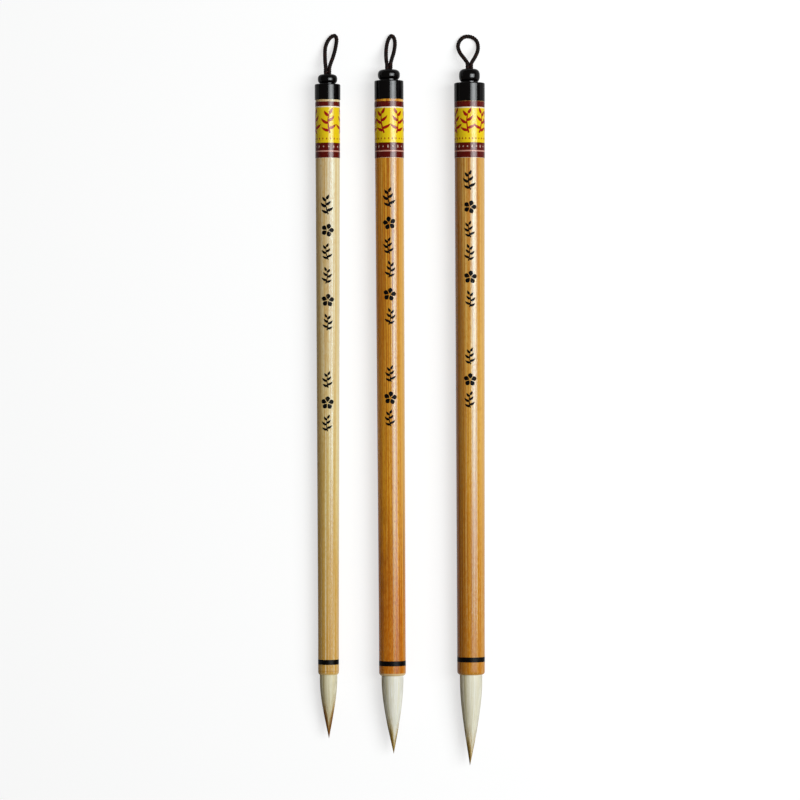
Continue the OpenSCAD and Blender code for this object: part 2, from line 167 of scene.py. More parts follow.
def linear(red, green, blue):
    """A colour of 0 to 255 on a screen, as a linear colour."""
    return tuple(
        c / 12.92 if c <= 0.04045 else ((c + 0.055) / 1.055) ** 2.4
        for c in (red / 255, green / 255, blue / 255)
    ) + (1,)


def add_mesh(name, points, faces, material):
    """A smooth mesh piece from points in the row frame."""
    mesh = bpy.data.meshes.new(name)
    mesh.from_pydata(points, [], faces)
    mesh.polygons.foreach_set("use_smooth", [True] * len(mesh.polygons))
    mesh.materials.append(material)
    piece = bpy.data.objects.new(name, mesh)
    scene.collection.objects.link(piece)
    return piece


def tube_faces(steps, sides, flip=False):
    """Faces of a closed tube of rings of points, turned inside out if its rings run the other way."""
    start = tuple(range(sides))
    end = tuple(range(steps * sides, (steps + 1) * sides))
    faces = []
    for i in range(steps):
        for k in range(sides):
            a = i * sides + k
            b = i * sides + (k + 1) % sides
            faces.append((a, b, b + sides, a + sides) if flip else (a, a + sides, b + sides, b))
    return faces + ([start[::-1], end] if flip else [start, end[::-1]])


def set_values(piece, name, values):
    """One number for each point of a piece, which its material reads by name."""
    piece.data.attributes.new(name, "FLOAT", "POINT").data.foreach_set("value", values)


# Camera, in metres: straight above the middle of the picture. The view has its full width at the
# height of the handles' axes.
camera_height = 1.4055
axis_height = 0.0055
view_width = 0.304
view_centre = (0.0001, 0.0056)
sensor = 36
camera = bpy.data.objects.new("camera", bpy.data.cameras.new("camera"))
camera.data.sensor_width = sensor
camera.data.lens = sensor * (camera_height - axis_height) / view_width
camera.data.clip_start = 0.05
camera.data.clip_end = 30
camera.location = (*view_centre, camera_height)
scene.collection.objects.link(camera)
scene.camera = camera


# Gloss is full where a surface is seen straight on, facing 0, and weak towards its rims, facing 1
gloss_full = 0.14
gloss_gone = 0.38
rim_gloss = 0.2
gloss_level = 0.36


class Surface:
    """A material, and the steps from which its colour, gloss and relief are made."""

    def __init__(self, name, **sockets):
        self.material = bpy.data.materials.new(name)
        self.material.use_nodes = True
        self.tree = self.material.node_tree
        self.shader = next(n for n in self.tree.nodes if n.type == "BSDF_PRINCIPLED")
        for socket, value in sockets.items():
            self.put(self.shader.inputs[socket.replace("_", " ")], value)

    def put(self, socket, value):
        if isinstance(value, bpy.types.NodeSocket):
            self.tree.links.new(value, socket)
        else:
            socket.default_value = value

    def node(self, kind, inputs=None, **settings):
        made = self.tree.nodes.new("ShaderNode" + kind)
        for setting, value in settings.items():
            setattr(made, setting, value)
        for key, value in (inputs or {}).items():
            self.put(made.inputs[key], value)
        return made

    def place(self, b):
        """The shaded point in the brush's own frame, in millimetres."""
        there, turned, _ = frame_of(b).decompose()
        point = self.node("TexCoord").outputs["Object"]
        return self.node(
            "Mapping",
            {"Vector": point, "Location": there, "Rotation": turned.to_euler(), "Scale": (MM, MM, MM)},
            vector_type="TEXTURE",
        ).outputs[0]

    def spot(self):
        """The shaded point in the row frame, in millimetres."""
        return self.scaled(self.node("TexCoord").outputs["Object"], (1 / MM, 1 / MM, 1 / MM))

    def scaled(self, point, scale):
        return self.node("VectorMath", {0: point, 1: scale}, operation="MULTIPLY").outputs[0]

    def across(self, place):
        return self.node("SeparateXYZ", {0: place}).outputs["X"]

    def along(self, place):
        return self.node("SeparateXYZ", {0: place}).outputs["Y"]

    def attribute(self, name):
        return self.node("Attribute", attribute_name=name).outputs["Fac"]

    def calc(self, operation, *values):
        return self.node("Math", dict(enumerate(values)), operation=operation).outputs[0]

    def noise(self, place, scale, detail=2.0, roughness=0.5):
        """Noise with its own fineness across, along and above, in spots to the millimetre."""
        point = self.scaled(place, scale)
        inputs = {"Vector": point, "Scale": 1.0, "Detail": detail, "Roughness": roughness}
        return self.node("TexNoise", inputs).outputs[0]

    def rise(self, value, low, high, to_low=0.0, to_high=1.0):
        """A smooth rise from to_low to to_high as a value goes from low to high."""
        inputs = {0: value, 1: low, 2: high, 3: to_low, 4: to_high}
        return self.node("MapRange", inputs, interpolation_type="SMOOTHSTEP").outputs[0]

    def mix(self, share, first, second):
        return self.node("Mix", {0: share, 6: first, 7: second}, data_type="RGBA").outputs[2]

    def ramp(self, value, stops, interpolation="LINEAR"):
        made = self.node("ValToRGB", {0: value})
        ramp = made.color_ramp
        ramp.interpolation = interpolation
        while len(ramp.elements) < len(stops):
            ramp.elements.new(1)
        for element, (position, colour) in zip(ramp.elements, sorted(stops)):
            element.position = position
            element.color = colour
        return made.outputs[0]

    def gloss(self, level):
        """A clear gloss that fades towards the rims, which stay dark."""
        facing = self.node("LayerWeight", {"Blend": 0.5}).outputs["Facing"]
        fade = self.rise(facing, gloss_full, gloss_gone, level, level * rim_gloss)
        self.put(self.shader.inputs["Specular IOR Level"], fade)

    def finish(self, colour, roughness=None, height=None, depth=0.01):
        """Sets the colour, and the roughness and a relief of some depth in millimetres."""
        self.put(self.shader.inputs["Base Color"], colour)
        if roughness is not None:
            self.put(self.shader.inputs["Roughness"], roughness)
        if height is not None:
            bump = self.node("Bump", {"Height": height, "Distance": depth * MM, "Strength": 1.0})
            self.put(self.shader.inputs["Normal"], bump.outputs[0])
        return self.material


# Cords: one length of twisted cord for each brush, out of the knob and back into it. Its route is laid
# in a frame at the point bend_out above the knob.
ply_offset = 0.24
ply_r = 0.55
ply_count = 3
ply_pitch = 2.6
groove_depth = 0.08
cord_sides = 24
cord_step = 0.14
cord_hidden = 4
curve_parts = 16


def curve_point(points, i, t):
    """The point at a share t of the way from point i to the next, on a smooth line through all."""
    p0, p1, p2, p3 = (points[min(max(k, 0), len(points) - 1)] for k in range(i - 1, i + 3))
    square = 2 * p0 - 5 * p1 + 4 * p2 - p3
    cube = 3 * (p1 - p2) + p3 - p0
    return p1 + t / 2 * (p2 - p0 + t * (square + t * cube))


def evenly(points, step):
    """Points at even steps along a line."""
    run = [0.0]
    for a, b in zip(points, points[1:]):
        run.append(run[-1] + (b - a).length)
    count = round(run[-1] / step)
    made = []
    part = 0
    for i in range(count + 1):
        at = run[-1] * i / count
        while part < len(points) - 2 and run[part + 1] < at:
            part += 1
        share = (at - run[part]) / (run[part + 1] - run[part])
        made.append(points[part].lerp(points[part + 1], share))
    return made


def cord_line(b):
    """The line that a cord follows, in the frame of its route, with both ends in the knob."""
    route = [Vector(p) for p in b.cord_route]
    inside = [Vector((route[0].x, -cord_hidden, 0)), Vector((route[0].x, -bend_out, 0))]
    back = [Vector((route[-1].x, p.y, 0)) for p in reversed(inside)]
    whole = inside + route + back
    smooth = [
        curve_point(whole, i, part / curve_parts)
        for i in range(len(whole) - 1)
        for part in range(curve_parts)
    ]
    return evenly(smooth + [whole[-1]], cord_step)


def ply_edge(angle):
    """Distance from a cord's middle to the surface of its plies."""
    part = math.tau / ply_count
    off = (angle + part / 2) % part - part / 2
    return ply_offset * math.cos(off) + math.sqrt(ply_r**2 - (ply_offset * math.sin(off)) ** 2)


def cord_material():
    s = Surface("black_cord", Specular_IOR_Level=0.15)
    groove = s.attribute("groove")
    place = s.node("CombineXYZ", {0: s.attribute("round"), 1: s.attribute("run"), 2: 0.0}).outputs[0]
    fibre = s.noise(place, (9, 1.2, 1), 3, 0.6)
    wear = s.noise(place, (0.8, 0.4, 1), 2)
    colour = s.mix(s.rise(fibre, 0.35, 0.7), linear(6, 4, 3), linear(26, 14, 10))
    colour = s.mix(s.rise(wear, 0.48, 0.7, 0, 0.6), colour, linear(70, 27, 15))
    # Painted shade: the grooves between the plies darkened to near black
    colour = s.mix(groove, colour, linear(2, 1, 1))
    return s.finish(colour, s.rise(fibre, 0.3, 0.7, 0.5, 0.7), fibre, 0.06)


def add_cord(b, material):
    line = cord_line(b)
    to_row = bend_frame(b)
    side = Vector((1, 0, 0))
    low_out = ply_edge(math.pi / ply_count)
    points, round_at, run_at, groove = [], [], [], []
    for i, middle in enumerate(line):
        ahead = (line[min(i + 1, len(line) - 1)] - line[max(i - 1, 0)]).normalized()
        side = (side - ahead * side.dot(ahead)).normalized()
        over = ahead.cross(side)
        twist = math.tau * i * cord_step / ply_pitch
        for k in range(cord_sides):
            angle = math.tau * k / cord_sides
            out = ply_edge(angle - twist)
            points.append(to_row @ (middle + out * (math.cos(angle) * side + math.sin(angle) * over)))
            round_at.append((angle - twist) % math.tau)
            run_at.append(i * cord_step)
            # Share of painted shade, full in the grooves between the plies
            groove.append(max(0, 1 - (out - low_out) / groove_depth))
    faces = tube_faces(len(line) - 1, cord_sides, flip=True)
    piece = add_mesh(b.name + "_cord", points, faces, material)
    set_values(piece, "round", round_at)
    set_values(piece, "run", run_at)
    set_values(piece, "groove", groove)
    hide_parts(b.name + "_cord_loop", b.name + "_cord_tail")
    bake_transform(piece)


cord_surface = cord_material()
for brush in BRUSHES:
    add_cord(brush, cord_surface)


# Bamboo: tones is the colour from the mouth to the top. Two heights above the mouth give a pale band
# painted along the mouth's edge as its highlight, and a dark line painted higher up as the shade of a
# groove
Bamboo = namedtuple(
    "Bamboo",
    "tones fibre dark_line light_line pale_edge edge_len groove_at stain grain gloss pale_side "
    "left_side left_share",
)
BAMBOO = {
    "small": Bamboo(
        tones=[
            (0.0, linear(214, 154, 52)),
            (0.18, linear(220, 174, 82)),
            (0.34, linear(228, 202, 126)),
            (0.58, linear(238, 219, 168)),
            (0.72, linear(240, 226, 184)),
            (1.0, linear(241, 227, 190)),
        ],
        fibre=linear(206, 160, 78),
        dark_line=linear(176, 116, 40),
        light_line=linear(246, 238, 208),
        pale_edge=linear(232, 200, 130),
        edge_len=0.45,
        groove_at=1.45,
        stain=0.0,
        grain=0.5,
        gloss=0.36,
        pale_side=linear(240, 224, 172),
        left_side=linear(212, 160, 62),
        left_share=0.55,
    ),
    "medium": Bamboo(
        tones=[
            (0.0, linear(218, 126, 2)),
            (0.15, linear(222, 134, 4)),
            (0.28, linear(228, 156, 24)),
            (0.42, linear(228, 166, 46)),
            (0.75, linear(230, 168, 48)),
            (1.0, linear(232, 172, 48)),
        ],
        fibre=linear(184, 94, 4),
        dark_line=linear(136, 56, 4),
        light_line=linear(234, 186, 92),
        pale_edge=linear(232, 204, 148),
        edge_len=0.95,
        groove_at=None,
        stain=1.0,
        grain=0.7,
        gloss=0.5,
        pale_side=linear(238, 190, 104),
        left_side=linear(246, 146, 10),
        left_share=0.25,
    ),
    "large": Bamboo(
        tones=[
            (0.0, linear(206, 134, 12)),
            (0.15, linear(208, 138, 16)),
            (0.28, linear(218, 152, 36)),
            (0.42, linear(228, 172, 66)),
            (0.75, linear(233, 182, 86)),
            (1.0, linear(234, 188, 98)),
        ],
        fibre=linear(194, 116, 18),
        dark_line=linear(146, 70, 8),
        light_line=linear(238, 200, 124),
        pale_edge=linear(220, 172, 88),
        edge_len=0.35,
        groove_at=None,
        stain=0.25,
        grain=0.7,
        gloss=0.62,
        pale_side=linear(228, 182, 104),
        left_side=linear(144, 80, 8),
        left_share=0.6,
    ),
}
stain_at = 44.0
stain_reach = 32.0
stain_core = 6.0
stain_brown = linear(140, 66, 8)
cool_gloss = (0.6, 0.87, 1.0, 1.0)
groove_half = 0.15
groove_blur = 0.07
edge_blur = 0.12


def near(s, value, middle, inner, outer, strength=1.0):
    """Full strength up to a distance from a middle, and nothing from a longer one on."""
    away = s.calc("ABSOLUTE", s.calc("SUBTRACT", value, middle))
    return s.rise(away, inner, outer, strength, 0.0)


def bamboo_streaks(s, place, look, colour):
    """Bands, fibres and single lines that run up the handle."""
    band = s.noise(place, (0.75, 0.004, 0.75), 2, 0.5)
    fibres = s.noise(place, (2.0, 0.010, 2.0), 4, 0.62)
    light = s.noise(place, (2.5, 0.007, 2.5), 2, 0.5)
    dark = s.noise(place, (2.9, 0.008, 2.9), 2, 0.5)
    colour = s.mix(s.rise(band, 0.44, 0.6, 0.0, 0.5), colour, look.fibre)
    colour = s.mix(s.rise(fibres, 0.44, 0.58, 0.0, 0.72), colour, look.fibre)
    colour = s.mix(s.rise(light, 0.54, 0.64, 0.0, 0.6), colour, look.light_line)
    colour = s.mix(s.rise(dark, 0.57, 0.64, 0.0, 0.7), colour, look.dark_line)
    return colour, fibres


def bamboo_pores(s, place, along, look, colour):
    """Short dark and pale flecks."""
    pores = s.noise(place, (2.0, 0.55, 2.0), 3, 0.7)
    grain = s.rise(along, 10.0, 90.0, look.grain, 0.45)
    colour = s.mix(s.calc("MULTIPLY", s.rise(pores, 0.5, 0.64), grain), colour, look.fibre)
    pale = s.calc("MULTIPLY", s.rise(pores, 0.38, 0.5, 0.2, 0.0), grain)
    return s.mix(pale, colour, look.light_line)


def bamboo_painted_light_sides(s, across, along, look, colour):
    """Painted shade that recolours the left flank, and a painted reflection that pales the right flank
    away from the mouth.
    """
    # Painted shade on the left flank
    colour = s.mix(s.rise(across, -0.85, -0.1, look.left_share, 0.0), colour, look.left_side)
    # Painted reflection on the right flank, stronger away from the mouth
    right = s.calc("MULTIPLY", s.rise(across, 0.45, 0.92, 0.0, 0.7), s.rise(along, 20.0, 90.0, 0.15, 1.0))
    return s.mix(right, colour, look.pale_side)


def bamboo_stain(s, place, across, along, look, colour):
    """Brown blots round one height of the handle, more on its left."""
    there = near(s, along, stain_at, stain_core, stain_reach)
    there = s.calc("MULTIPLY", there, s.rise(across, -0.5, 0.4, 1.0, 0.1))
    blot = s.rise(s.noise(place, (0.3, 0.06, 0.3), 3, 0.6), 0.4, 0.62, 0.0, 0.4 * look.stain)
    return s.mix(s.calc("MULTIPLY", there, blot), colour, stain_brown)


def bamboo_material(b):
    look = BAMBOO[b.name]
    s = Surface(b.name + "_bamboo", IOR=1.5, Specular_Tint=cool_gloss)
    s.gloss(look.gloss)
    place = s.place(b)
    along = s.along(place)
    across = s.calc("DIVIDE", s.across(place), b.top_r)
    colour = s.ramp(s.calc("DIVIDE", along, b.handle_len), look.tones)
    colour, fibres = bamboo_streaks(s, place, look, colour)
    colour = bamboo_pores(s, place, along, look, colour)
    colour = bamboo_painted_light_sides(s, across, along, look, colour)
    if look.stain:
        colour = bamboo_stain(s, place, across, along, look, colour)
    # Painted shade: a dark line where a fine groove runs above the mouth
    if look.groove_at:
        line = near(s, along, look.groove_at, groove_half - groove_blur, groove_half + groove_blur, 0.5)
        colour = s.mix(line, colour, look.dark_line)
    # Painted highlight: a pale band along the mouth's rounded edge
    edge_highlight = s.rise(along, look.edge_len - edge_blur, look.edge_len + edge_blur, 0.85, 0.0)
    colour = s.mix(edge_highlight, colour, look.pale_edge)
    peel = s.noise(place, (1.6, 0.9, 1.6), 3, 0.6)
    height = s.calc("ADD", s.calc("MULTIPLY", fibres, 0.5), s.calc("MULTIPLY", peel, 0.9))
    return s.finish(colour, s.rise(fibres, 0.3, 0.7, 0.15, 0.24), height, 0.02)


# Label: printed bands on coated paper, from the cap's side to the handle's
maroon = linear(92, 10, 6)
yellow = linear(243, 207, 22)
white_at = {"small": 1.75, "medium": 2.05, "large": 2.1}
yellow_after = 0.42
yellow_end = 15.6
line_at = 18.55
line_len = 0.5
edge_paper = 0.12


def label_bands(b):
    """Where each printed band starts, in millimetres below the label's upper edge."""
    return [
        (0.0, maroon),
        (white_at[b.name], linear(246, 232, 206)),
        (white_at[b.name] + yellow_after, yellow),
        (yellow_end, maroon),
        (line_at, linear(206, 150, 132)),
        (line_at + line_len, maroon),
        (label_len - edge_paper, linear(236, 226, 204)),
    ]


def label_material(b):
    s = Surface(b.name + "_printed_label", IOR=1.5)
    s.gloss(gloss_level)
    place = s.place(b)
    down = s.calc("DIVIDE", s.calc("SUBTRACT", label_top(b), s.along(place)), label_len)
    colour = s.ramp(down, [(at / label_len, shade) for at, shade in label_bands(b)], "CONSTANT")
    ink = s.noise(place, (1.4, 1.4, 1.4), 4, 0.65)
    fibre = s.noise(place, (6, 6, 6), 2, 0.5)
    colour = s.mix(s.rise(ink, 0.45, 0.75, 0.0, 0.12), colour, linear(150, 96, 10))
    return s.finish(colour, s.rise(ink, 0.3, 0.7, 0.1, 0.2), fibre, 0.006)


def cap_material():
    s = Surface("black_cap", IOR=1.5)
    s.gloss(gloss_level)
    place = s.spot()
    wear = s.noise(place, (0.7, 0.7, 0.7), 4, 0.6)
    turned = s.noise(place, (0.15, 7.0, 0.15), 2, 0.5)
    colour = s.mix(s.rise(wear, 0.55, 0.8, 0.0, 0.6), linear(5, 3, 3), linear(16, 14, 14))
    return s.finish(colour, s.rise(wear, 0.35, 0.7, 0.11, 0.18), turned, 0.002)


def ring_material():
    s = Surface("black_ring", IOR=1.5)
    s.gloss(0.12)
    place = s.spot()
    grain = s.noise(place, (3.0, 1.0, 3.0), 3, 0.6)
    colour = s.mix(s.rise(grain, 0.45, 0.7), linear(6, 4, 4), linear(22, 20, 19))
    return s.finish(colour, s.rise(grain, 0.3, 0.7, 0.25, 0.45), grain, 0.01)


def thread_material():
    s = Surface("thread", Roughness=0.7, Sheen_Weight=0.3)
    place = s.spot()
    wound = s.node("TexWave", {"Vector": place, "Scale": 1.0, "Distortion": 0.4, "Detail": 1.0},
                   bands_direction="Y").outputs["Fac"]
    colour = s.mix(s.rise(wound, 0.2, 0.9), linear(140, 128, 104), linear(214, 204, 180))
    return s.finish(colour, None, wound, 0.08)


def rosin_material():
    s = Surface("rosin", IOR=1.54)
    place = s.spot()
    cloud = s.noise(place, (0.8, 0.8, 0.8), 3, 0.6)
    colour = s.mix(s.rise(cloud, 0.35, 0.7), linear(120, 62, 16), linear(186, 118, 40))
    return s.finish(colour, s.rise(cloud, 0.3, 0.7, 0.15, 0.4), cloud, 0.05)


def dress(node, material):
    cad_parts[node].data.materials.clear()
    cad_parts[node].data.materials.append(material)


cap_surface = cap_material()
ring_surface = ring_material()
thread_surface = thread_material()
rosin_surface = rosin_material()
for brush in BRUSHES:
    dress(brush.name + "_handle", bamboo_material(brush))
    dress(brush.name + "_label_band", label_material(brush))
    dress(brush.name + "_end_cap", cap_surface)
    dress(brush.name + "_tip_ring", ring_surface)
    dress(brush.name + "_root_thread", thread_surface)
    dress(brush.name + "_root_rosin", rosin_surface)


# Printed ornament: strokes of ink wrapped round a brush, a hair's breadth above its surface
ink_rise = 0.015
stroke_parts = 9
leaf_width = 0.15
bold_leaf_width = 0.19
twig_half = 0.045
petal_start = 0.07
petal_len = 0.45
petal_width = 0.36
petal_swell = 1.35
SPRIG_LEAVES = [
    (0.1, 0.44, 66, 0.4), (0.22, 0.46, -62, -0.4), (0.48, 0.46, 54, 0.4),
    (0.6, 0.42, -50, -0.4), (0.85, 0.36, 40, 0.3), (0.95, 0.34, -30, -0.3),
]


class Print:
    """Strokes drawn in millimetres round and along a brush, which become one piece."""

    def __init__(self, b, radius_at):
        self.b = b
        self.radius_at = radius_at
        self.points = []
        self.faces = []

    def stroke(self, line, widths):
        """A stroke along a line of (round, along) points, with its half width at each."""
        first = len(self.points)
        for i, (u, v) in enumerate(line):
            before, after = line[max(i - 1, 0)], line[min(i + 1, len(line) - 1)]
            du, dv = after[0] - before[0], after[1] - before[1]
            size = math.hypot(du, dv) or 1
            for side in (-1, 0, 1):
                self.points.append((u - side * widths[i] * dv / size, v + side * widths[i] * du / size))
        for i in range(len(line) - 1):
            for k in (0, 1):
                a = first + 3 * i + k
                self.faces.append((a, a + 1, a + 4, a + 3))

    def leaf(self, u, v, length, width, angle, bend=0.0, swell=0.62):
        """A blade that swells early and runs out to a point, or late with a swell over 1."""
        ahead = (math.sin(math.radians(angle)), math.cos(math.radians(angle)))
        line, widths = [], []
        for i in range(stroke_parts):
            t = i / (stroke_parts - 1)
            off = bend * length * t * (1 - t)
            run = length * t
            line.append((u + run * ahead[0] + off * ahead[1], v + run * ahead[1] - off * ahead[0]))
            widths.append(width / 2 * (math.sin(math.pi * t**swell) ** 0.7 if 0 < t < 1 else 0.05))
        self.stroke(line, widths)

    def lozenge(self, u, v, width, height):
        self.stroke([(u, v - height / 2), (u, v), (u, v + height / 2)], [0.01, width / 2, 0.01])

    def sprig(self, u, v, size, blade, lean=0.0, mirror=1):
        """A twig with leaves to both sides: (place on the twig, length, angle, bend) of each."""
        stem, widths = [], []
        for i in range(stroke_parts):
            t = i / (stroke_parts - 1)
            sway = 0.12 * math.sin(2.4 * t) - 0.06 + lean * t
            stem.append((u + mirror * size * sway, v + size * (t - 0.5)))
            widths.append(twig_half * size * (1 - 0.5 * t))
        self.stroke(stem, widths)
        for t, length, angle, bend in SPRIG_LEAVES:
            at = stem[round(t * (stroke_parts - 1))]
            self.leaf(at[0], at[1], length * size, blade * size, mirror * angle, mirror * bend)

    def blossom(self, u, v, size, turn=0.0):
        """Five round petals, a little apart."""
        for k in range(5):
            angle = turn + 72 * k
            start = petal_start * size
            from_u = u + start * math.sin(math.radians(angle))
            from_v = v + start * math.cos(math.radians(angle))
            self.leaf(from_u, from_v, petal_len * size, petal_width * size, angle, 0.0, petal_swell)

    def piece(self, name, material):
        to_row = frame_of(self.b)
        points = []
        for u, v in self.points:
            r = self.radius_at(v)
            out = r + ink_rise
            points.append(to_row @ Vector((out * math.sin(u / r), v, out * math.cos(u / r))))
        made = add_mesh(name, points, self.faces, material)
        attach(made, self.b.name + "_brush")
        return made


def ink_material(name, dark, light, roughness, level):
    s = Surface(name, IOR=1.5)
    s.gloss(level)
    place = s.spot()
    dry = s.noise(place, (2.5, 0.8, 2.5), 4, 0.65)
    colour = s.mix(s.rise(dry, 0.4, 0.72), dark, light)
    return s.finish(colour, s.rise(dry, 0.3, 0.7, roughness, roughness + 0.15), dry, 0.004)


def handle_r(b, along):
    """Radius of a handle at a height above its mouth."""
    share = (along - tip_straight) / (b.handle_len - top_straight - tip_straight)
    return b.tip_r + (b.top_r - b.tip_r) * min(1, max(0, share))


black_ink = ink_material("black_ink", linear(5, 5, 5), linear(20, 20, 19), 0.3, 0.04)
red_ink = ink_material("red_ink", linear(156, 12, 6), linear(180, 28, 12), 0.14, gloss_level)
fret_ink = ink_material("fret_ink", linear(112, 18, 11), linear(128, 28, 18), 0.14, gloss_level)
pale_ink = ink_material("pale_ink", linear(214, 186, 168), linear(196, 160, 140), 0.16, gloss_level)

# Places of the black marks along each handle, as one group of six and one of three
MARKS = {
    "small": [177.7, 168.8, 160, 151, 142.2, 133.3, 111.5, 103.3, 95],
    "medium": [180.7, 171.7, 162.5, 153.6, 144.7, 135.7, 114, 105.5, 97.2],
    "large": [186.8, 177.4, 168.3, 159.5, 150.8, 141.9, 120.3, 112, 103.8],
}
mark_size = 4.9
first_mark_size = 5.8

# Ornament of a label: places are below its upper edge, and START turns it round the brush
START = {"small": 0.5, "medium": -2.4, "large": -0.9}
sprig_at = 8.3
sprig_size = 7.4
sprig_step = 5.6
dots_at = 14.1
dot_size = (0.55, 0.9)
dots_a_sprig = 4
lozenges_at = 17.1
lozenge_width = 0.6
lozenge_heights = (0.7, 1.4)
lozenges_a_sprig = 3
fret_foot = 1.55
fret_step = 1.5
fret_line = 0.07

# One key of the fret: the share of its width, and the height above its foot
FRET_KEY = [(0, 0), (0, 1.1), (0.72, 1.1), (0.72, 0.35), (0.36, 0.35), (0.36, 0.62)]


def mirror_of(i):
    return 1 if i % 2 else -1


def add_marks(b, rng):
    ink = Print(b, lambda v: handle_r(b, v))
    for i, v in enumerate(MARKS[b.name]):
        size = mark_size if i else first_mark_size
        u = rng.uniform(-0.4, 0.1)
        if i % 3 == 1:
            ink.blossom(u, v, size, rng.uniform(-20, 20))
        else:
            ink.sprig(u, v, size, bold_leaf_width, rng.uniform(-0.1, 0.1), mirror_of(i))
    ink.piece(b.name + "_ink_marks", black_ink)


def add_label_prints(b, rng):
    r = b.top_r + paper_t
    girth = math.tau * r
    top = label_top(b)
    start = START[b.name]
    sprigs = round(girth / sprig_step)
    red = Print(b, lambda v: r)
    for i in range(sprigs):
        u = start + i * girth / sprigs
        red.sprig(u, top - sprig_at, sprig_size, leaf_width, rng.uniform(-0.1, 0.1), mirror_of(i))
    dots = dots_a_sprig * sprigs
    for i in range(dots):
        red.lozenge(start + (i + 0.5) * girth / dots, top - dots_at, *dot_size)
    red.piece(b.name + "_label_sprigs", red_ink)

    pale = Print(b, lambda v: r)
    marks = lozenges_a_sprig * sprigs
    for i in range(marks):
        pale.lozenge(start + i * girth / marks, top - lozenges_at, lozenge_width, lozenge_heights[i % 2])
    pale.piece(b.name + "_label_marks", pale_ink)


def add_fret(b):
    r = b.top_r + paper_t
    low = label_top(b) - fret_foot
    keys = round(math.tau * r / fret_step)
    key = math.tau * r / keys
    widths = [fret_line, fret_line]
    fret = Print(b, lambda v: r)
    for i in range(keys):
        u = i * key
        path = [(u + share * key, low + height) for share, height in FRET_KEY]
        for start, end in zip(path, path[1:]):
            fret.stroke([start, end], widths)
        fret.stroke([(u, low), (u + key, low)], widths)
    fret.piece(b.name + "_label_fret", fret_ink)


for brush in BRUSHES:
    seeded = random.Random(len(brush.name))
    add_marks(brush, seeded)
    add_label_prints(brush, seeded)
    add_fret(brush)


# Hair: for each brush one closed body, in which its white cover hairs lie half sunk, and the
# brown hairs of its core, which show where the cover ends. Across, a hair is a low roof, hair_roof
# of its half width high. A tuft narrows as a cosine does, less a share slim of its radius halfway.
cover_count = 1100
core_count = 300
stray_count = 26
hair_parts = 13
hair_roof = 0.45
last_inside = 1.2
tie_depth = 3.0
slim = 0.055
body_share = 0.965
body_end = 0.985
body_steps = 30
body_sides = 96
lock_relief = 0.006
lock_reach = 0.03
tip_start = 0.999

# How far a tip leans to the right, in millimetres. Then the share of the hair's length that the
# cover reaches at the sides and on top, how narrow the longer part is, and how far it is turned.
LEAN = {"small": 0.15, "medium": 0.3, "large": -0.5}
COVER_ENDS = {"small": (0.47, 0.8, 8), "medium": (0.62, 0.85, 4), "large": (0.7, 0.88, 4)}
COVER_TILT = {"small": 0.1, "medium": 0.4, "large": 0.5}


def tuft_r(b, out):
    """Radius of the whole tuft at a distance out of the mouth, negative inside the handle."""
    if out < 0:
        return hair_r(b) - thread_t * min(1, -out / tie_depth)
    t = (out - flex_out(b)) / (b.hair_len - flex_out(b))
    return hair_r(b) * (1 if t < 0 else math.cos(math.pi / 2 * t) - slim * math.sin(math.pi * t))


def cover_end(b, angle):
    """Share of the length that the cover hair reaches, at the sides and further on top."""
    side, top, narrowness = COVER_ENDS[b.name]
    return side + (top - side) * max(0, math.sin(angle + COVER_TILT[b.name])) ** narrowness


def share_between(value, low, high):
    """How far a value is on the way from low to high, from 0 to 1."""
    return min(1, max(0, (value - low) / (high - low)))


def locks(angle, share=0.0):
    """Waves round a tuft, high where its hairs gather into locks."""
    slow = math.sin(5 * angle + 0.3) + 0.8 * math.sin(11 * angle + 1)
    return slow + 0.7 * math.sin(19 * angle + 2 + 2.5 * share) + 0.6 * math.sin(31 * angle - 2 * share)


def tone_and_shade_at(angle, share=0.0):
    """How white the cover hair is: creamier to the left as painted shade, and between locks."""
    return 0.5 + 0.25 * math.cos(angle) + 0.08 * locks(angle, share)


